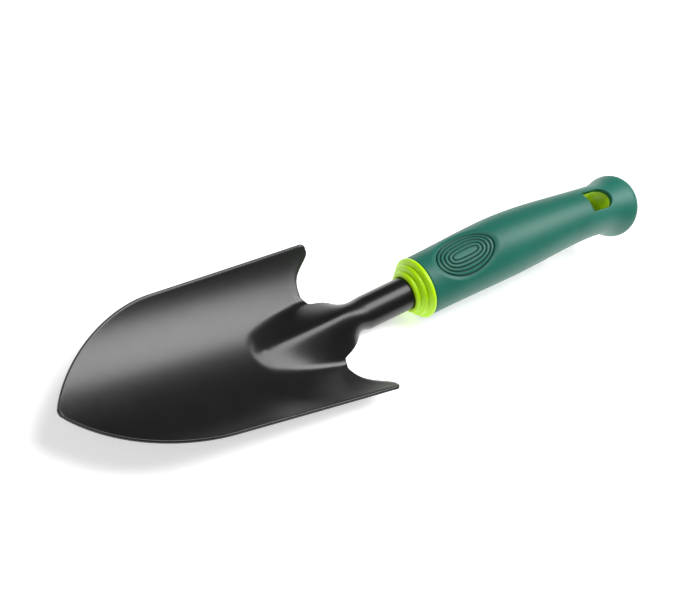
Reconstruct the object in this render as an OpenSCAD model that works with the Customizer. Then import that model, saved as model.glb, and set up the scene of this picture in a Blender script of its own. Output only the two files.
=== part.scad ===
// Hand trowel: one pressed steel sheet forms the blade, the raised rib and the rolled tubular
// neck. The neck is seated in a hard plastic core, and a soft grip is moulded over the core.
//
// Tool frame (used by every formula): X runs along the axis of the neck tube, towards the tip,
// with 0 at the front of the collar. Z is the open side of the blade, Y is across it.
// The finished part is then tipped so that it lies on z = 0, on three points: the two feet of the
// rib at the rear edge of the blade, and the underside of the neck tube where it starts to open out.

/* [Blade] */
// Length of the blade along its centre line, from tip to ears
blade_l = 164.5; // [150:0.5:176]
// Width of the blade across the ears
blade_w = 82; // [72:1:90]
// Radius of the trough that the sheet is rolled to
trough_r = 61.5; // [54:0.5:80]
// Angle between the blade's centre line and the neck tube
blade_rise = 22; // [18:0.5:26]
// Narrowing of each long side towards the tip
side_taper = 3.1; // [2:0.1:4.5]
// Length of the pointed part of the outline
point_l = 66; // [56:1:76]
// Radius at the very tip
tip_r = 4; // [3:0.5:6]
// Thickness of the sheet
sheet_t = 1.6; // [1.2:0.1:2]
// Radius of the ears' outer corners
ear_r = 3.5; // [2.5:0.5:6]
// How far the ears reach back past the deepest point of the rear edge
ear_l = 10.6; // [8:0.2:13]

/* [Rib and neck] */
// Where the nose of the rib starts, from the tip
nose_u = 108; // [104:0.5:112]
// Length of the nose, over which the rib rises out of the trough
nose_l = 8; // [6:0.5:10]
// Half width of the rib at the rear edge
rib_w = 17.8; // [16:0.2:19]
// Where the line of the crest would meet the floor of the trough, from the tip
crest_u = 118.5; // [114:0.5:121]
// Rounding of the crest at its nose
crest_r = 1.5; // [1:0.5:3]
// Rounding of the crest at the rear edge, where it turns into the neck
crest_end_r = 4.5; // [3:0.5:6]
// Width of the blend on each side of the rib's foot
fillet = 2.8; // [2:0.2:4]
// Outer diameter of the rolled neck tube
tube_d = 16; // [15:0.5:17]
// Depth of the tube in the handle
socket_l = 62; // [50:1:70]
// Distance from the collar to where the neck starts to open out
neck_l = 23; // [18:1:26]

/* [Handle] */
// Length of the handle, from the front of the collar to the butt
handle_l = 145.5; // [140:0.5:152]
// How far the butt hangs below the line of the neck tube
butt_drop = 20.5; // [14:0.5:24]
// How far the middle of the handle is arched above that line
arch = 1; // [0:0.1:1.5]
// Diameter of the grip behind the collar
front_d = 29.2; // [28:0.2:31]
// Diameter at the palm swell
belly_d = 31.2; // [30:0.2:33]
// Diameter at the narrow part before the butt
waist_d = 25.4; // [24:0.2:27]
// Diameter of the flared butt
butt_d = 32; // [30:0.2:33]
// Thickness of the soft grip over the core
skin_t = 2.4; // [1.8:0.2:2.8]
// Length of the stepped collar
collar_l = 8; // [6.6:0.2:9]
// Steps of the collar
collar_steps = 3; // [2:1:4]
// How far the front step stands out round the tube
collar_lip = 2.4; // [1.8:0.2:3]
// How far the last step stands proud of the grip
collar_proud = 0.4; // [0:0.1:0.4]
// Length of the flat under the thumb
pad_l = 44; // [36:1:46]
// Depth of that flat
pad_depth = 1; // [0.6:0.1:1.4]

/* [Hanging hole] */
// Length of the hole along the handle
hole_l = 17.5; // [13:0.5:18]
// Width of the hole
hole_w = 11.6; // [9:0.2:12]
// Flat front end of the hole, from the front of the collar
hole_x = 111; // [108:0.5:113]

/* [Hidden] */
$fn = 64;
eps = 0.01;

// Rest: the tool is turned nose down about Y, then set down on z = 0 with its box centred on X.
rest_tilt = 13.48;
rest_lift = 13.139;
rest_shift = -24.04;

tube_r = tube_d / 2;
seam = 0.2;               // half of the gap left under the rolled tube
tip_x = 190;              // tip of the centre line in the tool frame
tip_z = 54;
socket_gap = 0.1;         // between the tube and its socket
end_gap = 1;              // between the tube's end and the bottom of the socket
notch_rise = 1.3;         // from the deepest point of a scallop to the foot of the neck
scallop_share = 0.19;     // place of a scallop's deepest point between the rib's foot and the ear
ear_curl = 1.8;           // the higher, the more the rear edge keeps back before the ear
nose_power = 0.3;         // the lower, the blunter the nose of the rib
crest_soft = 3;           // height of the crest where its straight line meets the trough
least_blend = 0.35;       // smallest blend at the foot of the rib
neck_flare = 0.45;        // share of its width that the sheet loses along the neck
neck_hold = 2.2;          // the higher, the longer the neck's edges keep the shape of the rib
crest_hold = 1;           // the same for the crest
neck_reach = 20;          // length of blade that the neck's sheet would take up if it lay flat

blade_rows = 46;
neck_rows = 14;
wing_cols = 8;            // on each side of the rib
rib_cols = 14;            // on each side of the crest
side_n = wing_cols + rib_cols;
ring_n = 40;              // corners of a handle section
row_bias = 0.9;           // rows lie closer together towards the neck
tip_fade = 12;            // the higher, the sooner the rows forget the round end at the tip
rear_from = 0.8;          // share of the rows after which they take the shape of the rear edge
foot_share = 0.42;        // most of a row's half width that the rib's columns may take

function ease(s) = let (c = min(max(s, 0), 1)) c * c * (3 - 2 * c);
function mix(a, b, s) = a + (b - a) * s;
// The larger of two values, with a rounded change from one to the other
function soft_max(a, b, k) = max(a, b) + pow(max(k - abs(a - b), 0) / k, 2) * k / 4;

// ---- Outline of the blade, u measured back from the tip ----

taper = tan(side_taper);
side_start_w = blade_w / 2 - (blade_l - point_l) * taper;
// The pointed part is one arc from the tip, tangent to the long side
arc_nu = taper / sqrt(1 + taper * taper);
arc_nw = -1 / sqrt(1 + taper * taper);
arc_r = -(pow(point_l, 2) + pow(side_start_w, 2)) / (2 * (point_l * arc_nu + side_start_w * arc_nw));
arc_u = point_l + arc_r * arc_nu;
arc_w = side_start_w + arc_r * arc_nw;
tip_angle = atan2(arc_u, -arc_w);          // half of the angle at the point
tip_start_u = tip_r * pow(cos(tip_angle), 2) / sin(tip_angle);

function side_w(u) =
    let (side = u < point_l ? arc_w + sqrt(pow(arc_r, 2) - pow(u - arc_u, 2))
                            : blade_w / 2 - (blade_l - u) * taper,
         past = max(u - (blade_l - ear_r), 0))
    side - (ear_r - sqrt(max(pow(ear_r, 2) - past * past, 0)));

// The round end at the tip, and the rear edge with its two scallops, across the blade
function tip_u(y) = tip_r / sin(tip_angle) - sqrt(max(pow(tip_r, 2) - y * y, 0));
ear_w = blade_w / 2 - ear_r;
scallop_y = mix(rib_w, ear_w, scallop_share);
scallop_u = blade_l - ear_l;
notch_u = scallop_u + notch_rise;
function rear_u(y) = let (a = abs(y))
    a < rib_w ? notch_u
    : a < scallop_y ? mix(scallop_u, notch_u, pow((scallop_y - a) / (scallop_y - rib_w), 2))
    : mix(scallop_u, blade_l, ease(pow((a - scallop_y) / (ear_w - scallop_y), ear_curl)));

// ---- Height of the sheet's upper face above its centre line ----

function trough_h(y) = trough_r - sqrt(pow(trough_r, 2) - y * y);
// The rib is a wedge with a round nose. Its crest runs parallel to the neck tube.
function rib_half(u) = rib_w * pow(max(u - nose_u, eps) / (notch_u - nose_u), nose_power);
function crest_h(u) = let (line = tan(blade_rise) * (u - crest_u) / 2)
    (line + sqrt(line * line + pow(crest_soft, 2))) * ease((u - nose_u) / nose_l);
function crest_round(u) = mix(crest_r, crest_end_r, ease((u - nose_u) / (notch_u - nose_u)));
function rib_h(u, y) =
    let (w = rib_half(u), crest = crest_h(u), r = crest_round(u),
         flank = (sqrt(y * y + r * r) - r) / (sqrt(w * w + r * r) - r),
         blend = max(fillet * crest / w, least_blend * ease((u - nose_u) / nose_l), eps))
    soft_max(0, crest * (1 - flank), blend);
function to_tool(u, y, h) = [
    tip_x - u * cos(blade_rise) - h * sin(blade_rise),
    y,
    tip_z - u * sin(blade_rise) + h * cos(blade_rise)];

// Column j runs from -side_n to side_n: the rib in the middle, a wing on each side.
// Row i runs from the tip to the rear edge, then down the neck to the end of the tube.
function row_u(v) = mix(tip_start_u, notch_u, v);
function rear_share(v) = ease((v - rear_from) / (1 - rear_from));
function edge_u(v) = row_u(v) + (blade_l - notch_u) * rear_share(v);
function blade_y(v, j) =
    let (a = abs(j), w = side_w(max(edge_u(v), tip_start_u)), foot = min(rib_w, w * foot_share))
    sign(j) * (a <= rib_cols ? foot * a / rib_cols : mix(foot, w, (a - rib_cols) / wing_cols));
function blade_point(v, j) =
    let (y = blade_y(v, j),
         u = row_u(v) + (tip_u(blade_y(0, j)) - tip_start_u) * pow(1 - v, tip_fade)
             + (rear_u(blade_y(1, j)) - notch_u) * rear_share(v))
    face_point(u, y);
function face_point(u, y) = to_tool(u, y, trough_h(y) + rib_h(u, y));
function tube_point(x, j) =
    let (a = j / rib_cols * (180 - asin(seam / tube_r)))
    [x, tube_r * sin(a), tube_r * cos(a)];
// The neck starts as the rib carried on past the rear edge, and ends as the tube
neck_start = face_point(notch_u, 0)[0];
function neck_point(s, j) =
    mix(face_point(notch_u + s * neck_reach, blade_y(1, j) * (1 - s * neck_flare)),
        tube_point(mix(neck_start, neck_l, s), j),
        pow(ease(s), mix(crest_hold, neck_hold, pow(j / rib_cols, 2))));
last_row = blade_rows + neck_rows + 1;
function top_point(i, j) =
    i <= blade_rows ? blade_point(pow(i / blade_rows, row_bias), j)
    : i <= blade_rows + neck_rows ? neck_point((i - blade_rows) / neck_rows, j)
    : tube_point(-socket_l, j);

// The lower face lies one sheet thickness under the upper face
function side_of(i) = i <= blade_rows ? side_n : rib_cols;
function under_point(i, j) =
    let (m = side_of(i),
         along = top_point(min(i + (abs(j) > rib_cols && i == blade_rows ? 0 : 1), last_row), j)
                 - top_point(max(i - 1, 0), j),
         across = top_point(i, min(j + 1, m)) - top_point(i, max(j - 1, -m)),
         n = cross(along, across))
    top_point(i, j) + n / norm(n) * sheet_t;

sheet_cells = [for (i = [0:last_row]) for (j = [-side_of(i):side_of(i)]) [i, j]];
blade_n = (2 * side_n + 1) * (blade_rows + 1);
function at(i, j) = i <= blade_rows
    ? i * (2 * side_n + 1) + j + side_n
    : blade_n + (i - blade_rows - 1) * (2 * rib_cols + 1) + j + rib_cols;

module blade() {
    n = len(sheet_cells);
    quads = [for (i = [0:last_row - 1]) let (m = side_of(i + 1)) for (j = [-m:m - 1])
        [at(i, j), at(i + 1, j), at(i + 1, j + 1), at(i, j + 1)]];
    // The rim, walked once around the sheet
    rim = [
        for (j = [-side_n:side_n]) at(0, j),
        for (i = [1:blade_rows]) at(i, side_n),
        for (j = [side_n - 1:-1:rib_cols]) at(blade_rows, j),
        for (i = [blade_rows + 1:last_row]) at(i, rib_cols),
        for (j = [rib_cols - 1:-1:-rib_cols]) at(last_row, j),
        for (i = [last_row - 1:-1:blade_rows]) at(i, -rib_cols),
        for (j = [-rib_cols - 1:-1:-side_n]) at(blade_rows, j),
        for (i = [blade_rows - 1:-1:1]) at(i, -side_n)];
    color("dimgray") polyhedron(
        points = concat([for (c = sheet_cells) top_point(c[0], c[1])],
                        [for (c = sheet_cells) under_point(c[0], c[1])]),
        faces = concat(
            [for (q = quads) for (t = [[q[0], q[1], q[2]], [q[0], q[2], q[3]]]) t],
            [for (q = quads) for (t = [[q[0], q[2], q[1]], [q[0], q[3], q[2]]]) t + [n, n, n]],
            [for (k = [0:len(rim) - 1]) let (a = rim[k], b = rim[(k + 1) % len(rim)])
                for (t = [[a, b, b + n], [a, b + n, a + n]]) t]));
}

// ---- Handle ----

// Distance d back from the front of the collar. The centre line is arched, then bends down.
arch_end = 0.7 * handle_l;
bend_power = 3.6;
function height(d) = arch * pow(sin(180 * min(d / arch_end, 1)), 2)
    - butt_drop * pow(max(d, 0) / handle_l, bend_power);
function lean(d) = atan((height(d - eps) - height(d + eps)) / (2 * eps));
belly_at = 0.39 * handle_l;
waist_at = 0.83 * handle_l;
flare_at = handle_l - 4;
flare_power = 1.7;        // the higher, the later the butt flares out
butt_round = 6.2;         // rounding of the butt's edge
function grip_r(d) = (
    d < belly_at ? mix(front_d, belly_d, ease((d - collar_l) / (belly_at - collar_l)))
    : d < waist_at ? mix(belly_d, waist_d, ease((d - belly_at) / (waist_at - belly_at)))
    : mix(waist_d, butt_d, ease(pow((d - waist_at) / (flare_at - waist_at), flare_power)))) / 2;
function end_round(d, r) = let (past = max(d - (handle_l - butt_round), 0))
    r - butt_round + sqrt(max(pow(butt_round, 2) - past * past, 0));
// The pad is a shallow flat under the thumb, on the upper side
pad_at = 31.5;
pad_edge = 3;             // how sharply the flat fades out at its ends
function pad_cut(d, a, r) =
    let (flat = sin(a) * r - (r - pad_depth), q = (d - pad_at) / (pad_l / 2))
    flat > 0 ? flat * ease((1 - q * q) * pad_edge) : 0;

ring_bias = 1.5;          // rings lie closer together towards the butt
module handle_loft(inset, from, to, rings, pad) {
    pts = [for (k = [0:rings])
        let (d = mix(from, to, 1 - pow(1 - k / rings, ring_bias)), r = end_round(d, grip_r(d)) - inset)
        for (m = [0:ring_n - 1])
            let (a = 360 * m / ring_n, z = r * sin(a) - (pad ? pad_cut(d, a, r) : 0))
            [-d - z * sin(lean(d)), r * cos(a), height(d) + z * cos(lean(d))]];
    sides = [for (k = [0:rings - 1]) for (m = [0:ring_n - 1])
        let (a = k * ring_n + m, b = k * ring_n + (m + 1) % ring_n)
        for (t = [[a, b, b + ring_n], [a, b + ring_n, a + ring_n]]) t];
    polyhedron(points = pts, faces = concat(sides,
        [[for (m = [ring_n - 1:-1:0]) m]],
        [[for (m = [0:ring_n - 1]) rings * ring_n + m]]));
}

module core_shape(front) {
    handle_loft(skin_t, front, handle_l - skin_t, 22, false);
}

// Flat across its front end, round at its rear end
module hanging_hole() {
    d = hole_x + hole_l / 2;
    translate([-d, 0, height(d)]) rotate([0, -lean(d), 0])
        linear_extrude(2 * butt_d, center = true) union() {
            translate([-hole_l / 2 + hole_w / 2, -hole_w / 2])
                square([hole_l - hole_w / 2, hole_w]);
            translate([-hole_l / 2 + hole_w / 2, 0]) circle(d = hole_w);
        }
}

module collar() {
    step = collar_l / collar_steps;
    rotate([0, -90, 0]) for (k = [0:collar_steps - 1]) {
        r = mix(tube_r + collar_lip, front_d / 2 + collar_proud, k / (collar_steps - 1));
        soft = step / 2;
        translate([0, 0, k * step]) rotate_extrude() {
            square([r - soft, collar_l - k * step]);
            translate([0, soft]) square([r, collar_l - k * step - soft]);
            translate([r - soft, soft]) circle(soft);
        }
    }
}

module handle_core() {
    color("yellowgreen") difference() {
        union() {
            collar();
            core_shape(collar_l - eps);
        }
        translate([collar_l, 0, 0]) rotate([0, -90, 0])
            cylinder(r = tube_r + socket_gap, h = socket_l + collar_l + end_gap);
        hanging_hole();
    }
}

module grip_sleeve() {
    color("darkgreen") difference() {
        handle_loft(0, collar_l, handle_l, 36, true);
        core_shape(collar_l / 2);
        hanging_hole();
    }
}

module at_rest() {
    translate([rest_shift, 0, rest_lift]) rotate([0, rest_tilt, 0]) children();
}

at_rest() blade();
at_rest() handle_core();
at_rest() grip_sleeve();
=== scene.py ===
import math

import bmesh
import bpy
import numpy as np
from mathutils import Matrix, Vector


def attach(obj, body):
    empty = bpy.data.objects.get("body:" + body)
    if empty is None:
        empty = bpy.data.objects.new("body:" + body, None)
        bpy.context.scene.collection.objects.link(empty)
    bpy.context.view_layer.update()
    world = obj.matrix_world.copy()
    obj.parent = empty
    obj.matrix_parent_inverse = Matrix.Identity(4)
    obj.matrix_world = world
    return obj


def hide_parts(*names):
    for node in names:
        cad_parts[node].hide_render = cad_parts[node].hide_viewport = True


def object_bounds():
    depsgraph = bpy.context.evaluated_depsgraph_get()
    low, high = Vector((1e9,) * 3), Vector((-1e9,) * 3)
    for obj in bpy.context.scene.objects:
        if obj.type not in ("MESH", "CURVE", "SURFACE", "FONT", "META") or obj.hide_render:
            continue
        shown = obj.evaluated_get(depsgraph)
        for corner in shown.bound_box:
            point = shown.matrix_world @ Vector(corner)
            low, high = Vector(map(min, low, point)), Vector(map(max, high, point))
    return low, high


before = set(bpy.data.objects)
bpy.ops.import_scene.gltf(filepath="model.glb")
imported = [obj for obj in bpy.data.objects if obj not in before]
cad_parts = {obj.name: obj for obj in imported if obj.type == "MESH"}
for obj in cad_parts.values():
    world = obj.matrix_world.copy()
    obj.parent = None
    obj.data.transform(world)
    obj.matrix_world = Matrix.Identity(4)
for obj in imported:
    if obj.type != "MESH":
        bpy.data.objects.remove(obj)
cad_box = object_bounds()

# A hand trowel that lies on a floor, in three pieces: one steel sheet that is the blade, the rib and
# the neck, the hard core of the handle, and the soft grip over the core.
#
# The shapes are worked out in the tool frame, in millimetres: x along the neck tube towards the tip,
# 0 at the front of the collar, z out of the open side of the blade, y across it. u is a distance
# back from the tip along the blade, and d a distance back from the collar's front along the handle.

MM = 0.001

# ---------------------------------------------------------------- sizes of the blade

BLADE_L = 164.5                    # centre line, from tip to ears
BLADE_W = 82.0                     # across the ears
TROUGH_R = 61.5                    # radius that the sheet is rolled to
BLADE_RISE = math.radians(22)      # blade against neck tube
SIDE_TAPER = math.tan(math.radians(3.1))
POINT_L = 66.0                     # pointed part of the outline
TIP_R = 4.0                        # radius at the very tip
TIP_X = 190.0                      # tip of the centre line in the tool frame
TIP_Z = 54.0
SHEET_T = 1.6
RIM_ROUND = 0.45                   # how far the rounded rim bulges out
RIM_STEPS = 6                      # strips over the rounded rim
RIM_FADE = 8                       # rows and columns that share the rim's pull
EAR_R = 3.5                        # outer corners of the ears
EAR_L = 10.6                       # reach of the ears past the scallops
EAR_CURL = 1.8                     # the higher, the more the rear edge keeps back before the ear
NOTCH_RISE = 1.3                   # from a scallop's deepest point to the foot of the neck
SCALLOP_SHARE = 0.19               # place of that point between the rib's foot and the ear

# ---------------------------------------------------------------- sizes of the rib and neck

NOSE_U = 108.0                     # where the nose of the rib starts
NOSE_L = 8.0                       # length over which the rib rises out of the trough
NOSE_POWER = 0.3                   # the lower, the blunter the nose
RIB_W = 17.8                       # half width of the rib at the rear edge
CREST_U = 118.5                    # where the line of the crest would meet the trough's floor
CREST_SOFT = 3.0                   # height of the crest there
CREST_R = 1.5                      # rounding of the crest at its nose
CREST_END_R = 4.5                  # the same at the rear edge
FILLET = 2.8                       # blend at the foot of the rib
LEAST_BLEND = 0.35                 # smallest blend there
TUBE_R = 8.0
SEAM = 0.2                         # half of the gap under the rolled tube
NECK_L = 23.0                      # from the collar to where the neck starts to open out
SOCKET_L = 62.0                    # depth of the tube in the handle
NECK_REACH = 20.0                  # length of blade that the neck's sheet would take up if flat
NECK_FLARE = 0.45                  # share of its width that the sheet loses along the neck
NECK_HOLD = 2.2                    # the higher, the longer the neck's edges keep the rib's shape
CREST_HOLD = 1.0                   # the same for the crest

# ---------------------------------------------------------------- sizes of the handle

HANDLE_L = 145.5
BUTT_DROP = 20.5                   # how far the butt hangs below the line of the neck tube
BEND_POWER = 3.6                   # the higher, the later the handle bends down
ARCH = 1.0                         # how far the middle is arched above that line
ARCH_END = 0.7 * HANDLE_L
FRONT_R = 14.6                     # grip behind the collar
BELLY_R = 15.6                     # palm swell
BELLY_AT = 0.39 * HANDLE_L
WAIST_R = 12.7                     # narrow part before the butt
WAIST_AT = 0.83 * HANDLE_L
BUTT_R = 16.0
FLARE_AT = HANDLE_L - 4            # where the butt is widest
FLARE_POWER = 1.7                  # the higher, the later the butt flares
BUTT_ROUND = 6.2                   # rounding of the butt's rear edge
GRIP_CROWN = 0.7                   # how far the butt's end face bulges
INNER_CROWN = 0.3                  # the same for the grip's inner skin
CORE_CROWN = 0.2                   # the same for the core
CORE_END_GAP = 0.2                 # between the core's end face and the grip
SKIN_T = 2.4                       # soft grip over the core
SKIN_GAP = 0.02                    # between the core and the grip
GRIP_EDGE_R = 0.8                  # rounding of the grip's front edge
COLLAR_L = 8.0
COLLAR_STEPS = 3
COLLAR_LIP = 2.4                   # how far the front step stands out round the tube
COLLAR_PROUD = 0.4                 # how far the last step stands proud of the grip
SOCKET_GAP = 0.1                   # between the tube and its socket
SOCKET_EDGE_R = 0.5                # rounding of the socket's mouth
SOCKET_RINGS = (SOCKET_L - 0.4, 40.0, 20.0, 6.0, 0.9)    # rings of vertices along its wall

# Thumb pad: a shallow oval recess with rings of grooves
PAD_AT = 31.5
PAD_LONG = 18.6                    # half its length
PAD_WIDE = 12.0                    # half its width
PAD_DEPTH = 0.9
PAD_WALL = 5                       # the higher, the steeper its wall
GROOVES = 5
GROOVE_DEPTH = 0.75
GROOVE_W = 0.3
GROOVE_LONG = 7.1                  # half length of the inner groove
GROOVE_WIDE = 1.8                  # half width of the inner groove
GROOVE_MORE_LONG = 2.12            # what each further groove adds to these
GROOVE_MORE_WIDE = 1.9
GROOVE_SQUARE = 2.8                # outline of the inner groove, from 2 for an ellipse
GROOVE_OVAL = 2.0                  # outline of the outer groove

# Hanging hole: flat at its front end, round at its rear end
HOLE_X = 111.0                     # front end
HOLE_L = 17.5
HOLE_W = 11.6
HOLE_CORNER_R = 1.3                # rounding of its two front corners
HOLE_LIP = 0.7                     # rounding of the grip's edge round it
LINING_T = 0.25                    # how far the lining stands into it

# ---------------------------------------------------------------- rest

REST_TILT = math.radians(13.48)    # nose down, on the two feet of the rib and on the neck
REST_SHIFT = np.array([-0.02404, 0, 0.013139])    # in metres, to the floor and the middle


# ---------------------------------------------------------------- small helpers

def ease(s):
    """A soft step from 0 to 1."""
    s = np.clip(s, 0, 1)
    return s * s * (3 - 2 * s)


def mix(a, b, s):
    return a + (b - a) * s


def soft_max(a, b, k):
    """The larger of two values, blended where they are less than k apart."""
    return np.maximum(a, b) + (np.maximum(k - np.abs(a - b), 0) / k) ** 2 * k / 4


def unit(v):
    return v / np.maximum(np.linalg.norm(v, axis=-1, keepdims=True), 1e-12)


def to_row(points):
    """Tool frame in mm to the part's frame in metres, tipped to rest."""
    x, y, z = np.moveaxis(np.asarray(points, float) * MM, -1, 0)
    along = x * math.cos(REST_TILT) + z * math.sin(REST_TILT)
    up = -x * math.sin(REST_TILT) + z * math.cos(REST_TILT)
    return np.stack([along, y, up], -1) + REST_SHIFT


def link(obj):
    bpy.context.scene.collection.objects.link(obj)


def make_piece(name, verts, faces, material, node):
    """A smooth mesh piece that stands for a CAD node and rides on the only body."""
    mesh = bpy.data.meshes.new(name)
    mesh.from_pydata([tuple(v) for v in to_row(verts)], [], faces)
    mesh.validate()
    shape = bmesh.new()
    shape.from_mesh(mesh)
    bmesh.ops.recalc_face_normals(shape, faces=shape.faces)
    shape.to_mesh(mesh)
    shape.free()
    mesh.update()
    mesh.shade_smooth()
    mesh.materials.append(material)
    piece = bpy.data.objects.new(name, mesh)
    link(piece)
    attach(piece, "root")
    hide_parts(node)
    return piece


# ---------------------------------------------------------------- outline of the blade

# Each side of the point is an arc that leaves the long side without a corner
SIDE_START_W = BLADE_W / 2 - (BLADE_L - POINT_L) * SIDE_TAPER
ARC_N = np.array([SIDE_TAPER, -1]) / math.hypot(SIDE_TAPER, 1)
ARC_R = -(POINT_L ** 2 + SIDE_START_W ** 2) / (2 * (POINT_L * ARC_N[0] + SIDE_START_W * ARC_N[1]))
ARC_U = POINT_L + ARC_R * ARC_N[0]
ARC_W = SIDE_START_W + ARC_R * ARC_N[1]
TIP_ANGLE = math.atan2(ARC_U, -ARC_W)
TIP_START_U = TIP_R * math.cos(TIP_ANGLE) ** 2 / math.sin(TIP_ANGLE)
EAR_W = BLADE_W / 2 - EAR_R
SCALLOP_Y = RIB_W + (EAR_W - RIB_W) * SCALLOP_SHARE
SCALLOP_U = BLADE_L - EAR_L
NOTCH_U = SCALLOP_U + NOTCH_RISE


def side_w(u):
    """Half width of the blade, u mm back from the tip."""
    arc = ARC_W + np.sqrt(np.maximum(ARC_R ** 2 - (u - ARC_U) ** 2, 0))
    side = np.where(u < POINT_L, arc, BLADE_W / 2 - (BLADE_L - u) * SIDE_TAPER)
    past = np.maximum(u - (BLADE_L - EAR_R), 0)
    return side - (EAR_R - np.sqrt(np.maximum(EAR_R ** 2 - past ** 2, 0)))


def tip_u(y):
    """The front edge: the rounded tip."""
    return TIP_R / math.sin(TIP_ANGLE) - np.sqrt(np.maximum(TIP_R ** 2 - y ** 2, 0))


def rear_u(y):
    """The rear edge: a scallop on each side of the neck, then the ears."""
    a = np.abs(y)
    near = mix(SCALLOP_U, NOTCH_U, ((SCALLOP_Y - a) / (SCALLOP_Y - RIB_W)) ** 2)
    out = np.clip((a - SCALLOP_Y) / (EAR_W - SCALLOP_Y), 0, 1)
    ear = mix(SCALLOP_U, BLADE_L, ease(out ** EAR_CURL))
    return np.where(a < RIB_W, NOTCH_U, np.where(a < SCALLOP_Y, near, ear))


# ---------------------------------------------------------------- surface of the sheet

# Columns are counted from the crest, and rows from the tip
RIB_COLS = 50                      # on each side of the crest
WING_COLS = 26                     # beyond them on each wing
ALL_COLS = RIB_COLS + WING_COLS
BLADE_ROWS = 210
NECK_ROWS = 48
TUBE_ROWS = 10
LAST_ROW = BLADE_ROWS + NECK_ROWS + TUBE_ROWS
WIDE_N = 2 * ALL_COLS + 1          # vertices in a row of the blade
NARROW_N = 2 * RIB_COLS + 1        # vertices in a row of the neck and tube
WIDE_COUNT = (BLADE_ROWS + 1) * WIDE_N
ROW_BIAS = 0.93                    # rows lie a little closer together towards the neck
TIP_FADE = 12                      # how soon the rows straighten behind the tip
REAR_FROM = 0.8                    # share of the blade after which they follow the rear edge
FOOT_SHARE = 0.42                  # most of the half width that the rib's columns take up


def sheet_h(u, y):
    """Height of the upper face over the centre line: the trough and the rib pressed into it."""
    past_nose = (u - NOSE_U) / (NOTCH_U - NOSE_U)
    rise = ease((u - NOSE_U) / NOSE_L)
    half = RIB_W * (np.maximum(u - NOSE_U, 0.01) / (NOTCH_U - NOSE_U)) ** NOSE_POWER
    line = math.tan(BLADE_RISE) * (u - CREST_U) / 2
    crest = (line + np.sqrt(line ** 2 + CREST_SOFT ** 2)) * rise
    r = mix(CREST_R, CREST_END_R, ease(past_nose))
    flank = (np.hypot(y, r) - r) / (np.hypot(half, r) - r)
    blend = np.maximum(FILLET * crest / half, LEAST_BLEND * rise)
    rib = soft_max(0, crest * (1 - flank), np.maximum(blend, 0.01))
    return TROUGH_R - np.sqrt(TROUGH_R ** 2 - y * y) + rib


def face_point(u, y):
    """The point of the sheet's upper face at u and y, in the tool frame."""
    h = sheet_h(u, y)
    x = TIP_X - u * math.cos(BLADE_RISE) - h * math.sin(BLADE_RISE)
    z = TIP_Z - u * math.sin(BLADE_RISE) + h * math.cos(BLADE_RISE)
    return np.stack([x, y, z], -1)


def rear_share(v):
    return ease((v - REAR_FROM) / (1 - REAR_FROM))


def blade_y(v, j):
    """Place across the blade of column j in the row at v, 0 at the tip and 1 at the rear edge."""
    edge_u = mix(TIP_START_U, NOTCH_U, v) + (BLADE_L - NOTCH_U) * rear_share(v)
    w = side_w(np.maximum(edge_u, TIP_START_U))
    foot = np.minimum(RIB_W, w * FOOT_SHARE)
    a = np.abs(j)
    inner = foot * a / RIB_COLS
    outer = mix(foot, w, (a - RIB_COLS) / WING_COLS)
    return np.sign(j) * np.where(a <= RIB_COLS, inner, outer)


def blade_grid(v, j):
    """The blade's rows bend with the tip at the front and with the rear edge at the back."""
    to_tip = (tip_u(blade_y(0 * v, j)) - TIP_START_U) * (1 - v) ** TIP_FADE
    to_rear = (rear_u(blade_y(0 * v + 1, j)) - NOTCH_U) * rear_share(v)
    u = mix(TIP_START_U, NOTCH_U, v) + to_tip + to_rear
    return face_point(u, blade_y(v, j))


def tube_grid(x, j):
    """The rolled tube, with its two edges at the seam below."""
    turn = j / RIB_COLS * (math.pi - math.asin(SEAM / TUBE_R))
    return np.stack([x + 0 * turn, TUBE_R * np.sin(turn), TUBE_R * np.cos(turn)], -1)


def neck_grid(s, j):
    """The rib carried on past the rear edge turns into the rolled tube."""
    rib = face_point(NOTCH_U + s * NECK_REACH, blade_y(0 * s + 1, j) * (1 - s * NECK_FLARE))
    start_x = face_point(np.array(NOTCH_U), np.array(0.0))[0]
    share = ease(s) ** mix(CREST_HOLD, NECK_HOLD, (j / RIB_COLS) ** 2)
    return mix(rib, tube_grid(mix(start_x, NECK_L, s), j), share[..., None])


def sheet_rows():
    """The upper face: the blade's wide rows, and the narrow rows of the neck and tube."""
    j = np.arange(-ALL_COLS, ALL_COLS + 1, dtype=float)[None, :]
    v = (np.linspace(0, 1, BLADE_ROWS + 1) ** ROW_BIAS)[:, None]
    wide = blade_grid(v, j)
    j = np.arange(-RIB_COLS, RIB_COLS + 1, dtype=float)[None, :]
    s = np.linspace(0, 1, NECK_ROWS + 1)[1:, None]
    neck = neck_grid(s + 0 * j, j + 0 * s)
    tube = np.repeat(neck[-1:], TUBE_ROWS, 0)
    tube[..., 0] = np.linspace(NECK_L, -SOCKET_L, TUBE_ROWS + 1)[1:, None]
    return wide, np.concatenate([neck, tube])


def sheet_normals(wide, narrow):
    """The rib's columns carry on into the neck, and the wings end at the rear edge."""
    mid = slice(WING_COLS, WING_COLS + NARROW_N)
    long = np.concatenate([wide[:, mid], narrow])
    on_wide = np.cross(np.gradient(wide, axis=1), np.gradient(wide, axis=0))
    on_long = np.cross(np.gradient(long, axis=1), np.gradient(long, axis=0))
    on_wide[:, mid] = on_long[:BLADE_ROWS + 1]
    on_narrow = on_long[BLADE_ROWS + 1:]
    normals = unit(np.concatenate([on_wide.reshape(-1, 3), on_narrow.reshape(-1, 3)]))
    return normals if normals[:, 2].mean() > 0 else -normals


# ---------------------------------------------------------------- mesh of the sheet

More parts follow.
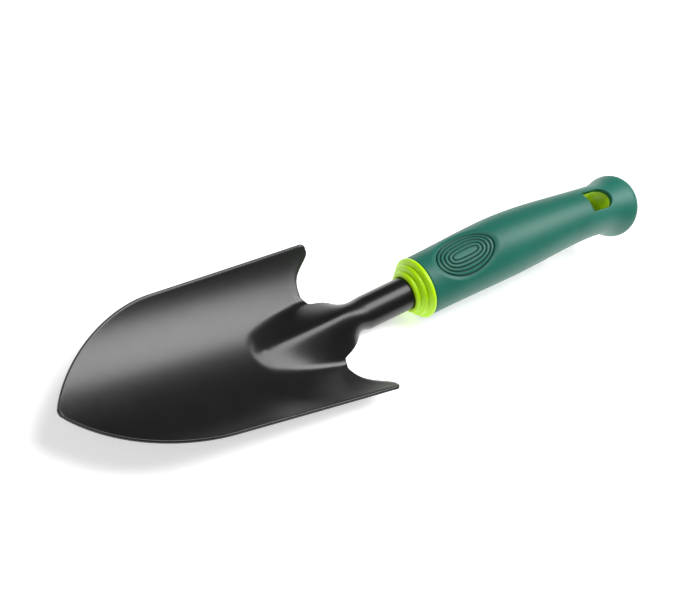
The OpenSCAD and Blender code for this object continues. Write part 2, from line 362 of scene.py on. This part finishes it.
def at(i, j):
    """Number of the vertex in row i and column j of the upper face."""
    if i <= BLADE_ROWS:
        return i * WIDE_N + j + ALL_COLS
    return WIDE_COUNT + (i - BLADE_ROWS - 1) * NARROW_N + j + RIB_COLS


def sheet_quads():
    quads = []
    for i in range(LAST_ROW):
        cols = ALL_COLS if i < BLADE_ROWS else RIB_COLS
        for j in range(-cols, cols):
            quads.append([at(i, j), at(i + 1, j), at(i + 1, j + 1), at(i, j + 1)])
    return quads


def sheet_rim():
    """The border of the sheet as one loop: tip, one side, its rear edge, neck and tube, and back."""
    tip = [at(0, j) for j in range(-ALL_COLS, ALL_COLS + 1)]
    side = [at(i, ALL_COLS) for i in range(1, BLADE_ROWS + 1)]
    rear = [at(BLADE_ROWS, j) for j in range(ALL_COLS - 1, RIB_COLS - 1, -1)]
    neck = [at(i, RIB_COLS) for i in range(BLADE_ROWS + 1, LAST_ROW + 1)]
    end = [at(LAST_ROW, j) for j in range(RIB_COLS - 1, -RIB_COLS - 1, -1)]
    neck_back = [at(i, -RIB_COLS) for i in range(LAST_ROW - 1, BLADE_ROWS - 1, -1)]
    rear_back = [at(BLADE_ROWS, j) for j in range(-RIB_COLS - 1, -ALL_COLS - 1, -1)]
    side_back = [at(i, -ALL_COLS) for i in range(BLADE_ROWS - 1, 0, -1)]
    return tip + side + rear + neck + end + neck_back + rear_back + side_back


def fade(away):
    """1 on the rim, down to 0 a few rows or columns away from it."""
    return np.maximum(1 - np.abs(away) / RIM_FADE, 0)


def rim_pull(rim, out):
    """The pull on the rim, shared with the rows and columns beside it so that none fold over."""
    narrow_rows = NECK_ROWS + TUBE_ROWS
    pull = np.zeros((WIDE_COUNT + narrow_rows * NARROW_N, 3))
    pull[rim] = out
    wide = pull[:WIDE_COUNT].reshape(BLADE_ROWS + 1, -1, 3)
    narrow = pull[WIDE_COUNT:].reshape(narrow_rows, -1, 3)

    j = np.arange(-ALL_COLS, ALL_COLS + 1)
    wing = np.clip((np.abs(j) - RIB_COLS) / WING_COLS, 0, 1)[None, :, None]
    side = np.where(j[None, :, None] < 0, wide[:, :1], wide[:, -1:]) * wing
    rear = wide[-1:].copy()
    for sign in (-1, 1):
        near = (j * sign > 0) & (j * sign < RIB_COLS)
        foot = wide[-1, ALL_COLS + sign * RIB_COLS]
        rear[0, near] = foot * fade(RIB_COLS - np.abs(j[near]))[:, None]
    row = np.arange(BLADE_ROWS + 1)[:, None, None]
    wide_pull = mix(mix(side, wide[:1], fade(row)), rear, fade(BLADE_ROWS - row))

    j = np.arange(-RIB_COLS, RIB_COLS + 1)[None, :, None]
    narrow_pull = narrow[:, :1] * fade(j + RIB_COLS) + narrow[:, -1:] * fade(RIB_COLS - j)
    narrow_pull[-1] = narrow[-1]
    return np.concatenate([wide_pull.reshape(-1, 3), narrow_pull.reshape(-1, 3)])


def build_blade(material):
    """The sheet: its upper face, its lower face, and a rounded rim between them."""
    wide, narrow = sheet_rows()
    normals = sheet_normals(wide, narrow)
    top = np.concatenate([wide.reshape(-1, 3), narrow.reshape(-1, 3)])
    quads = sheet_quads()
    rim = sheet_rim()

    # both faces are pulled in at the rim, and the strips between them bulge back out
    loop = top[rim]
    along = unit(np.roll(loop, -1, 0) - np.roll(loop, 1, 0))
    out = unit(np.cross(along, normals[rim]))
    out *= np.sign(out[ALL_COLS, 0])
    pull = rim_pull(rim, out) * RIM_ROUND
    verts = [top - pull, top - normals * SHEET_T - pull]

    n = len(top)
    faces = quads + [[q[0] + n, q[3] + n, q[2] + n, q[1] + n] for q in quads]
    rings = [rim]
    for k in range(1, RIM_STEPS):
        phi = math.pi * k / RIM_STEPS
        sink = normals[rim] * SHEET_T / 2 * (1 - math.cos(phi))
        verts.append(loop - out * RIM_ROUND * (1 - math.sin(phi)) - sink)
        first = 2 * n + (k - 1) * len(rim)
        rings.append(list(range(first, first + len(rim))))
    rings.append([a + n for a in rim])
    for a, b in zip(rings, rings[1:]):
        for k in range(len(rim)):
            after = (k + 1) % len(rim)
            faces.append([a[k], a[after], b[after], b[k]])
    make_piece("blade_sheet", np.concatenate(verts), faces, material, "blade")


# ---------------------------------------------------------------- surface of the handle

def bend(d):
    """Height of the handle's centre line, d mm back from the collar's front."""
    arch = ARCH * np.sin(math.pi * np.minimum(d / ARCH_END, 1)) ** 2
    return arch - BUTT_DROP * (np.maximum(d, 0) / HANDLE_L) ** BEND_POWER


def lean(d):
    """Slope of the centre line at d, as an angle, measured over 1 mm."""
    return np.arctan(bend(d - 0.5) - bend(d + 0.5))


def grip_r(d):
    """Radius of the grip: front, palm swell, waist and flared butt with a rounded edge."""
    to_waist = np.clip((d - WAIST_AT) / (FLARE_AT - WAIST_AT), 0, 1)
    swell = mix(FRONT_R, BELLY_R, ease((d - COLLAR_L) / (BELLY_AT - COLLAR_L)))
    waist = mix(BELLY_R, WAIST_R, ease((d - BELLY_AT) / (WAIST_AT - BELLY_AT)))
    flare = mix(WAIST_R, BUTT_R, ease(to_waist ** FLARE_POWER))
    r = np.where(d < BELLY_AT, swell, np.where(d < WAIST_AT, waist, flare))
    past = np.maximum(d - (HANDLE_L - BUTT_ROUND), 0)
    return r - BUTT_ROUND + np.sqrt(np.maximum(BUTT_ROUND ** 2 - past ** 2, 0))


def section_to_tool(d, y, z):
    """y and z across the handle, d mm back along it."""
    angle = lean(d)
    return np.stack([-d - z * np.sin(angle), y + 0 * d, bend(d) + z * np.cos(angle)], -1)


def groove_oval(d, y, k, grow):
    """1 on the line of groove k, grown by some mm, more outside it and less inside it."""
    power = mix(GROOVE_SQUARE, GROOVE_OVAL, k / (GROOVES - 1))
    half_l = GROOVE_LONG + GROOVE_MORE_LONG * k + grow
    half_w = GROOVE_WIDE + GROOVE_MORE_WIDE * k + grow
    return (np.abs((d - PAD_AT) / half_l) ** power + np.abs(y / half_w) ** power) ** (1 / power)


def pad_grooves(d, y):
    """1 along the middle of the thumb pad's oval grooves, 0 away from them."""
    line = 0.0
    step = 0.5
    for k in range(GROOVES):
        here = groove_oval(d, y, k, 0)
        slope = np.maximum(here - groove_oval(d, y, k, step), 1e-4) / step
        line = np.maximum(line, np.exp(-((here - 1) / slope / GROOVE_W) ** 2))
    return line


def pad_relief(d, y):
    """Depth of the thumb pad: a shallow oval recess with grooves."""
    out = np.hypot((d - PAD_AT) / PAD_LONG, y / PAD_WIDE)
    return PAD_DEPTH * ease((1 - out) * PAD_WALL) + GROOVE_DEPTH * pad_grooves(d, y)


# ---------------------------------------------------------------- hanging hole

HOLE_D = HOLE_X + HOLE_L / 2
HOLE_LEAN = float(lean(HOLE_D))
HOLE_AT = np.array([-HOLE_D, 0.0, float(bend(HOLE_D))])
HOLE_BACK = np.array([-math.cos(HOLE_LEAN), 0.0, -math.sin(HOLE_LEAN)])
HOLE_UP = np.array([-math.sin(HOLE_LEAN), 0.0, math.cos(HOLE_LEAN)])
WINDOW_AHEAD = 4.0                 # what is left open in the skin round the hole
WINDOW_BEHIND = 3.0
WINDOW_ANGLE = math.radians(44)
MOUTH_RINGS = 9                    # from the window's border to the hole's outline
MOUTH_BIAS = 1.3                   # the higher, the closer together near the hole
LIP_STEPS = 5                      # over the rounded lip
OUTLINE_HALVINGS = 40              # to find a point of the hole's outline
SKIN_TRIES = 8                     # to find the point of the skin over it


def hole_edge(ab, shrink):
    """Signed distance from the hole's outline, for points back and across from its middle."""
    back = np.maximum(ab[:, 0] - (HOLE_L - HOLE_W) / 2, 0)
    side = np.hypot(back, ab[:, 1]) - HOLE_W / 2 + shrink + HOLE_CORNER_R
    front = -HOLE_L / 2 - ab[:, 0] + shrink + HOLE_CORNER_R
    inside = np.minimum(np.maximum(side, front), 0)
    return inside + np.hypot(np.maximum(side, 0), np.maximum(front, 0)) - HOLE_CORNER_R


def hole_outline(border, shrink):
    """Where the lines from the hole's middle to the border cross its outline."""
    low = np.zeros(len(border))
    high = np.ones(len(border))
    for _ in range(OUTLINE_HALVINGS):
        half = (low + high) / 2
        inside = hole_edge(border * half[:, None], shrink) < 0
        low = np.where(inside, half, low)
        high = np.where(inside, high, half)
    return border * low[:, None]


def skin_point(ab, side, inset):
    """The point of the skin that lies over a point of the hole's own plane."""
    d = HOLE_D + ab[:, 0]
    for _ in range(SKIN_TRIES):
        r = grip_r(d) - inset
        point = section_to_tool(d, ab[:, 1], side * np.sqrt(r * r - ab[:, 1] ** 2))
        d = d + ab[:, 0] - (point - HOLE_AT) @ HOLE_BACK
    return point


# ---------------------------------------------------------------- mesh of the handle

class Shell:
    """Vertices and faces of a piece, gathered patch by patch."""

    def __init__(self):
        self.verts = []
        self.faces = []
        self.count = 0

    def add(self, points):
        """Add points and return their numbers."""
        points = np.asarray(points, float).reshape(-1, 3)
        self.verts.append(points)
        self.count += len(points)
        return list(range(self.count - len(points), self.count))

    def add_face(self, corners, flip):
        self.faces.append(corners[::-1] if flip else corners)

    def bridge(self, a, b, flip=False):
        """Quads between two closed loops of the same length."""
        for k in range(len(a)):
            after = (k + 1) % len(a)
            self.add_face([a[k], a[after], b[after], b[k]], flip)

    def cap(self, loop, centre, flip=False):
        """Triangles from a closed loop to a point."""
        tip = self.add([centre])[0]
        for k in range(len(loop)):
            self.add_face([loop[k], loop[(k + 1) % len(loop)], tip], flip)

    def points(self):
        return np.concatenate(self.verts)


EDGE_END = COLLAR_L + GRIP_EDGE_R  # behind the grip's rounded front edge
BUTT_START = HANDLE_L - BUTT_ROUND
EDGE_POINTS = 6                    # over a small rounded edge
BUTT_POINTS = 15                   # over the rounded edge of the butt
BUTT_STEP = 0.6                    # between rows there, where the skin is hidden
FACE_RINGS = 8                     # over the butt's end face


def window_cols(turn, side):
    """First and last column of the window on the upper (1) or lower (-1) side of the handle."""
    away = np.mod(turn - side * math.pi / 2 + math.pi, 2 * math.pi) - math.pi
    near = np.nonzero(np.abs(away) < WINDOW_ANGLE)[0]
    return near[0], near[-1]


def add_mouth(shell, ring, side, inset, flip, lip, shrink):
    """Rings from a window's border to the hole's outline, and over its lip if it has one."""
    away = shell.points()[ring] - HOLE_AT
    border = np.stack([away @ HOLE_BACK, away[:, 1]], -1)
    edge = hole_outline(border, shrink)
    out = unit(border - edge)
    for k in range(1, MOUTH_RINGS + 1):
        share = (1 - k / MOUTH_RINGS) ** MOUTH_BIAS
        flat = edge + out * lip + (border - edge - out * lip) * share
        loop = shell.add(skin_point(flat, side, inset))
        shell.bridge(ring, loop, not flip)
        ring = loop
    for k in range(1, LIP_STEPS + 1 if lip else 0):
        phi = math.pi / 2 * k / LIP_STEPS
        flat = edge + out * lip * (1 - math.sin(phi))
        sink = lip * (1 - math.cos(phi)) * side
        loop = shell.add(skin_point(flat, side, inset) - HOLE_UP * sink)
        shell.bridge(ring, loop, not flip)
        ring = loop
    return ring


def add_skin(shell, d, turn, inset, pad=False, flip=False, lip=0.0, shrink=0.0):
    """One skin of the handle with the hole's two mouths left open.
    Returns its first and last loops and the two mouths, upper first."""
    rows = len(d)
    cols = len(turn)
    dd = d[:, None] + 0 * turn[None, :]
    tt = turn[None, :] + 0 * d[:, None]
    r = grip_r(dd) - inset
    y = r * np.cos(tt)
    z = r * np.sin(tt)
    if pad:
        z = z - np.where(np.sin(tt) > 0, pad_relief(dd, y), 0)
    index = np.array(shell.add(section_to_tool(dd, y, z))).reshape(rows, cols)

    i0 = int(np.searchsorted(d, HOLE_X - WINDOW_AHEAD)) - 1
    i1 = int(np.searchsorted(d, HOLE_X + HOLE_L + WINDOW_BEHIND)) + 1
    windows = [window_cols(turn, side) for side in (1, -1)]
    for i in range(rows - 1):
        for k in range(cols):
            if i0 <= i < i1 and any(a <= k < b for a, b in windows):
                continue
            after = (k + 1) % cols
            shell.add_face([index[i, k], index[i, after], index[i + 1, after], index[i + 1, k]], flip)

    mouths = []
    for side, (k0, k1) in zip((1, -1), windows):
        ring = [index[i0, k] for k in range(k0, k1)]
        ring += [index[i, k1] for i in range(i0, i1)]
        ring += [index[i1, k] for k in range(k1, k0, -1)]
        ring += [index[i, k0] for i in range(i1, i0, -1)]
        mouths.append(add_mouth(shell, ring, side, inset, flip, lip, shrink))
    return list(index[0]), list(index[-1]), mouths


def spaced(*stretches):
    """Positions along the handle or round it: (from, to, step) stretches put end to end."""
    parts = []
    for start, end, step in stretches:
        count = max(2, int(round((end - start) / step)) + 1)
        parts.append(np.linspace(start, end, count)[:-1])
    return np.concatenate(parts + [[stretches[-1][1]]])


def around(fine, coarse):
    """Angles round the handle, in finer steps over the thumb pad, 40 to 140 degrees."""
    return np.radians(spaced((40, 140, fine), (140, 400, coarse))[:-1])


def butt_rows():
    """Rows over the rounded edge of the butt, evenly spaced along the curve."""
    phi = np.linspace(0, math.pi / 2, BUTT_POINTS)[1:-1]
    return HANDLE_L - BUTT_ROUND + BUTT_ROUND * np.sin(phi)


def close_butt(shell, loop, crown, flip=False):
    """The butt's end face, slightly crowned."""
    ring_points = shell.points()[loop]
    centre = ring_points.mean(0)
    axis = unit(np.cross(ring_points[len(loop) // 4] - centre, ring_points[0] - centre))
    axis *= -np.sign(axis[0])
    ring = loop
    for k in range(1, FACE_RINGS):
        share = 1 - k / FACE_RINGS
        points = centre + (ring_points - centre) * share + axis * crown * (1 - share ** 2)
        inner = shell.add(points)
        shell.bridge(ring, inner, flip)
        ring = inner
    shell.cap(ring, centre + axis * crown, flip)


def angles_between(angles):
    """Angles turned from the first corner of a loop to each of the others and back to it."""
    steps = np.diff(np.append(angles, angles[0]))
    return np.concatenate([[0], np.cumsum(np.abs(np.angle(np.exp(1j * steps))))])


def wall_between(shell, a, b):
    """A wall between two mouths that may not have the same number of corners."""
    points = shell.points()

    def angles(loop):
        away = points[loop] - HOLE_AT
        return np.arctan2(away[:, 1], away @ HOLE_BACK)

    def runs(turn):
        return np.sign(np.sum(np.sin(np.roll(turn, -1) - turn)))

    turn_a = angles(a)
    turn_b = angles(b)
    if runs(turn_a) != runs(turn_b):
        b = b[::-1]
        turn_b = turn_b[::-1]
    start = int(np.argmin(np.abs(np.angle(np.exp(1j * (turn_b - turn_a[0]))))))
    b = b[start:] + b[:start]
    past_a = angles_between(turn_a)
    past_b = angles_between(np.roll(turn_b, -start))
    i = 0
    k = 0
    while i < len(a) or k < len(b):
        if k >= len(b) or (i < len(a) and past_a[i + 1] <= past_b[k + 1]):
            shell.add_face([a[i % len(a)], a[(i + 1) % len(a)], b[k % len(b)]], False)
            i += 1
        else:
            shell.add_face([a[i % len(a)], b[(k + 1) % len(b)], b[k % len(b)]], False)
            k += 1


# ---------------------------------------------------------------- grip

PAD_MARGIN = 1                     # finely spaced rows past each end of the thumb pad
FRONT_STEP = 0.7                   # between the outer skin's rows ahead of the thumb pad
PAD_STEP = 0.2                     # over it
REAR_STEP = 0.8                    # behind it
INNER_STEP = 2.0                   # between the inner skin's rows


def round_front_edge(points, edge, cols):
    """The skin's first rows, pulled in towards the handle's centre line."""
    for i, d in enumerate(edge):
        rows = slice(i * cols, (i + 1) * cols)
        centre = section_to_tool(np.array([d]), np.array([0.0]), np.array([0.0]))[0]
        away = points[rows] - centre
        sink = GRIP_EDGE_R - math.sqrt(max(GRIP_EDGE_R ** 2 - (EDGE_END - d) ** 2, 0))
        points[rows] = centre + away * (1 - sink / np.linalg.norm(away, axis=1, keepdims=True))


def store_painted_groove_shade(piece, d, turn):
    """How much painted shade each point gets: the thumb pad's grooves are darkened."""
    painted_groove_shade = np.zeros(len(piece.data.vertices))
    upper = np.sin(turn)[None, :] > 0
    y = grip_r(d)[:, None] * np.cos(turn)
    # painted shade: the grooves on the upper side get a darkening share
    painted_groove_shade[:len(d) * len(turn)] = (pad_grooves(d[:, None], y) * upper).ravel()
    piece.data.attributes.new("painted_groove_shade", "FLOAT", "POINT").data.foreach_set("value", painted_groove_shade)


def build_grip(material):
    """The soft grip: an outer skin, an inner skin that lies on the core, and walls between them."""
    shell = Shell()
    turn = around(fine=0.75, coarse=2.5)
    edge = COLLAR_L + GRIP_EDGE_R * (1 - np.cos(np.linspace(0, math.pi / 2, EDGE_POINTS)))[:-1]
    pad_from = PAD_AT - PAD_LONG - PAD_MARGIN
    pad_to = PAD_AT + PAD_LONG + PAD_MARGIN
    ahead = (EDGE_END, pad_from, FRONT_STEP)
    behind = (pad_to, BUTT_START, REAR_STEP)
    d = np.concatenate([edge, spaced(ahead, (pad_from, pad_to, PAD_STEP), behind), butt_rows()])
    first, last, mouths = add_skin(shell, d, turn, 0.0, pad=True, lip=HOLE_LIP)
    round_front_edge(shell.verts[0], edge, len(turn))
    close_butt(shell, last, GRIP_CROWN)

    inner_end = HANDLE_L - SKIN_T - INNER_CROWN
    inner_d = spaced((COLLAR_L, BUTT_START, INNER_STEP), (BUTT_START, inner_end, BUTT_STEP))
    inner_first, inner_last, inner_mouths = add_skin(shell, inner_d, turn, SKIN_T, flip=True)
    shell.bridge(first, inner_first, True)
    close_butt(shell, inner_last, INNER_CROWN, True)
    for mouth, inner_mouth in zip(mouths, inner_mouths):
        wall_between(shell, mouth, inner_mouth)
    piece = make_piece("grip_overmould", shell.points(), shell.faces, material, "grip_sleeve")
    store_painted_groove_shade(piece, d, turn)


# ---------------------------------------------------------------- core

CORE_STEP = 1.5                    # between the core's rows
COLLAR_TURN = 0.8 * math.pi        # each step of the collar is rounded over this angle
COLLAR_POINTS = 14


def core_profile():
    """(d, r) pairs from the bottom of the socket, out of its mouth and over the collar's steps."""
    bore = TUBE_R + SOCKET_GAP
    profile = [(SOCKET_L, 0.6 * bore), (SOCKET_L, bore)]
    profile += [(d, bore) for d in SOCKET_RINGS]
    for a in np.linspace(0, math.pi / 2, EDGE_POINTS):
        profile.append((SOCKET_EDGE_R * (1 - math.sin(a)), bore + SOCKET_EDGE_R * (1 - math.cos(a))))
    step = COLLAR_L / COLLAR_STEPS
    soft = step / 2
    for k in range(COLLAR_STEPS):
        ring = mix(TUBE_R + COLLAR_LIP, FRONT_R + COLLAR_PROUD, k / (COLLAR_STEPS - 1))
        for a in np.linspace(0, COLLAR_TURN, COLLAR_POINTS):
            profile.append((k * step + soft - soft * math.cos(a), ring - soft + soft * math.sin(a)))
    return profile


def build_core(material, lining):
    """Collar, socket and the lining of the hole, in one moulding."""
    shell = Shell()
    turn = around(fine=2.0, coarse=3.0)
    loops = []
    for d, r in core_profile():
        loops.append(shell.add(np.stack([-d + 0 * turn, r * np.cos(turn), r * np.sin(turn)], -1)))
    for a, b in zip(loops, loops[1:]):
        shell.bridge(a, b, True)
    shell.cap(loops[0], (-SOCKET_L, 0, 0))

    end = HANDLE_L - SKIN_T - CORE_CROWN - CORE_END_GAP
    d = spaced((COLLAR_L, BUTT_START, CORE_STEP), (BUTT_START, end, BUTT_STEP))
    first, last, mouths = add_skin(shell, d, turn, SKIN_T + SKIN_GAP, shrink=LINING_T)
    shell.bridge(loops[-1], first, True)
    close_butt(shell, last, CORE_CROWN)

    lining_from = len(shell.faces)
    wall_between(shell, mouths[0], mouths[1])
    piece = make_piece("core_moulding", shell.points(), shell.faces, material, "handle_core")
    piece.data.materials.append(lining)
    # the hole's lining takes the lime plastic's copy in painted shade
    for polygon in list(piece.data.polygons)[lining_from:]:
        polygon.material_index = 1


# ---------------------------------------------------------------- materials

def new_material(name):
    material = bpy.data.materials.new(name)
    material.use_nodes = True
    tree = material.node_tree
    return material, tree, tree.nodes["Principled BSDF"]


def noise(tree, scale, detail=3.0):
    coords = tree.nodes.new("ShaderNodeTexCoord")
    node = tree.nodes.new("ShaderNodeTexNoise")
    node.inputs["Scale"].default_value = scale
    node.inputs["Detail"].default_value = detail
    tree.links.new(coords.outputs["Object"], node.inputs["Vector"])
    return node.outputs["Fac"]


def ramp(tree, fac, low, high):
    """Two colours, mixed over the middle of a noise's range."""
    node = tree.nodes.new("ShaderNodeValToRGB")
    first, last = node.color_ramp.elements
    first.position = 0.35
    first.color = (*low, 1)
    last.position = 0.65
    last.color = (*high, 1)
    tree.links.new(fac, node.inputs["Fac"])
    return node.outputs["Color"]


def bump(tree, bsdf, height, strength):
    node = tree.nodes.new("ShaderNodeBump")
    node.inputs["Strength"].default_value = strength
    node.inputs["Distance"].default_value = 0.0002
    tree.links.new(height, node.inputs["Height"])
    tree.links.new(node.outputs["Normal"], bsdf.inputs["Normal"])


def powder_coat():
    """Satin black powder coat: almost even, with a very fine texture."""
    material, tree, bsdf = new_material("powder_coat")
    base = ramp(tree, noise(tree, scale=60), (0.0045, 0.0045, 0.005), (0.0065, 0.0065, 0.007))
    tree.links.new(base, bsdf.inputs["Base Color"])
    rough = tree.nodes.new("ShaderNodeMapRange")
    rough.inputs["To Min"].default_value = 0.27
    rough.inputs["To Max"].default_value = 0.32
    tree.links.new(noise(tree, scale=220), rough.inputs["Value"])
    tree.links.new(rough.outputs["Result"], bsdf.inputs["Roughness"])
    bump(tree, bsdf, noise(tree, scale=1400, detail=2.0), strength=0.06)
    return material


def rubber():
    """Matte dark green rubber, with painted shade where the mesh marks the thumb pad's grooves."""
    material, tree, bsdf = new_material("grip_rubber")
    clean = ramp(tree, noise(tree, scale=35), (0.007, 0.122, 0.086), (0.010, 0.145, 0.104))
    painted_groove_shade = tree.nodes.new("ShaderNodeAttribute")
    painted_groove_shade.attribute_name = "painted_groove_shade"
    groove_shaded = tree.nodes.new("ShaderNodeMix")
    groove_shaded.data_type = "RGBA"
    # painted shade: in the marked grooves the base colour is mixed towards this near-black green
    groove_shaded.inputs["B"].default_value = (0.002, 0.014, 0.012, 1)
    tree.links.new(painted_groove_shade.outputs["Fac"], groove_shaded.inputs["Factor"])
    tree.links.new(clean, groove_shaded.inputs["A"])
    tree.links.new(groove_shaded.outputs["Result"], bsdf.inputs["Base Color"])
    bsdf.inputs["Roughness"].default_value = 0.46
    bsdf.inputs["Specular IOR Level"].default_value = 0.38
    bump(tree, bsdf, noise(tree, scale=2600, detail=2.0), strength=0.25)
    return material


def lime_plastic(name, grain, low_share=1.0, high_share=1.0):
    """Smooth lime plastic, with its darker and lighter colour toned down by a share; shares below 1 give a
    copy in painted shade.
    """
    material, tree, bsdf = new_material(name)
    low = [low_share * c for c in (0.46, 0.84, 0.003)]
    high = [high_share * c for c in (0.53, 0.9, 0.004)]
    tree.links.new(ramp(tree, noise(tree, grain), low, high), bsdf.inputs["Base Color"])
    bsdf.inputs["Roughness"].default_value = 0.32
    bsdf.inputs["Specular IOR Level"].default_value = 0.35
    return material


# ---------------------------------------------------------------- studio, in metres

CAMERA_LENS = 85.0
CAMERA_SENSOR = 36.0
CAMERA_HIGH = math.radians(45.65)  # above the floor
CAMERA_SIDE = math.radians(24.45)  # from the blade's end towards +y
CAMERA_ROLL = math.radians(37.47)
CAMERA_AWAY = 0.7447
CAMERA_AIM = Vector((0.0152, 0, 0.0199))    # from the middle of the tool's footprint
FLOOR_HALF = 3.0
ROOM_LIGHT = 0.1                   # on the tool's surfaces
ROOM_SEEN = 1.0                    # to the eye


def aim(obj, target, roll=0.0):
    """Turn a camera or a light towards a point."""
    forward = (Vector(target) - obj.location).normalized()
    turn = forward.to_track_quat("-Z", "Y").to_matrix().to_4x4() @ Matrix.Rotation(roll, 4, "Z")
    obj.matrix_world = Matrix.Translation(obj.location) @ turn


def make_camera(middle):
    data = bpy.data.cameras.new("camera")
    data.lens = CAMERA_LENS
    data.sensor_width = CAMERA_SENSOR
    camera = bpy.data.objects.new("camera", data)
    link(camera)
    target = Vector(middle) + CAMERA_AIM
    level = math.cos(CAMERA_HIGH)
    direction = (level * math.cos(CAMERA_SIDE), level * math.sin(CAMERA_SIDE), math.sin(CAMERA_HIGH))
    camera.location = target + CAMERA_AWAY * Vector(direction)
    aim(camera, target, roll=CAMERA_ROLL)
    bpy.context.scene.camera = camera


def make_floor():
    """A plain pale floor that glows a little, so that it stays white between the lights."""
    mesh = bpy.data.meshes.new("floor")
    half = FLOOR_HALF
    corners = [(-half, -half, 0), (half, -half, 0), (half, half, 0), (-half, half, 0)]
    mesh.from_pydata(corners, [], [(0, 1, 2, 3)])
    material, _, bsdf = new_material("pale_floor")
    bsdf.inputs["Base Color"].default_value = (0.9, 0.9, 0.9, 1)
    bsdf.inputs["Roughness"].default_value = 0.9
    bsdf.inputs["Emission Color"].default_value = (1, 1, 1, 1)
    bsdf.inputs["Emission Strength"].default_value = 0.5
    mesh.materials.append(material)
    floor = bpy.data.objects.new("floor", mesh)
    link(floor)


def make_world():
    """The room is dim to the tool's surfaces and pale to the eye."""
    world = bpy.data.worlds.new("studio")
    world.use_nodes = True
    nodes = world.node_tree.nodes
    links = world.node_tree.links
    path = nodes.new("ShaderNodeLightPath")
    level = nodes.new("ShaderNodeMapRange")
    level.inputs["To Min"].default_value = ROOM_LIGHT
    level.inputs["To Max"].default_value = ROOM_SEEN
    links.new(path.outputs["Is Camera Ray"], level.inputs["Value"])
    links.new(level.outputs["Result"], nodes["Background"].inputs["Strength"])
    nodes["Background"].inputs["Color"].default_value = (1, 1, 1, 1)
    bpy.context.scene.world = world


def softbox(name, target, direction, away, size, power):
    data = bpy.data.lights.new(name, "AREA")
    data.shape = "RECTANGLE"
    data.size, data.size_y = size
    data.energy = power
    light = bpy.data.objects.new(name, data)
    light.location = Vector(target) + Vector(direction).normalized() * away
    link(light)
    aim(light, target)


def make_studio(middle):
    make_floor()
    make_world()
    softbox("overhead_softbox", middle, (-0.22, -0.04, 0.97), away=1.1, size=(0.65, 0.65), power=9)
    softbox("fill_softbox", middle, (0.75, 0.30, 0.60), away=1.2, size=(0.8, 0.8), power=3.5)
    softbox("back_softbox", middle, (-0.70, 0.10, 0.71), away=1.1, size=(0.56, 0.5), power=7)
    bpy.context.scene.view_settings.view_transform = "Standard"


# ---------------------------------------------------------------- build

LINING_PAINTED_SHADE = 0.5                 # painted shade inside the hole: the lining is darker than the collar, its dark patches most of all

build_blade(powder_coat())
build_grip(rubber())
collar_lime = lime_plastic("lime_plastic", grain=50)
# a copy of the lime plastic in painted shade, for the lining inside the hanging hole
painted_shade_lining_lime = lime_plastic("lime_lining_painted_shade", grain=260, low_share=LINING_PAINTED_SHADE ** 1.5, high_share=LINING_PAINTED_SHADE)
build_core(collar_lime, painted_shade_lining_lime)

cad_low, cad_high = cad_box
middle = ((cad_low.x + cad_high.x) / 2, 0, 0)
make_camera(middle)
make_studio(middle)
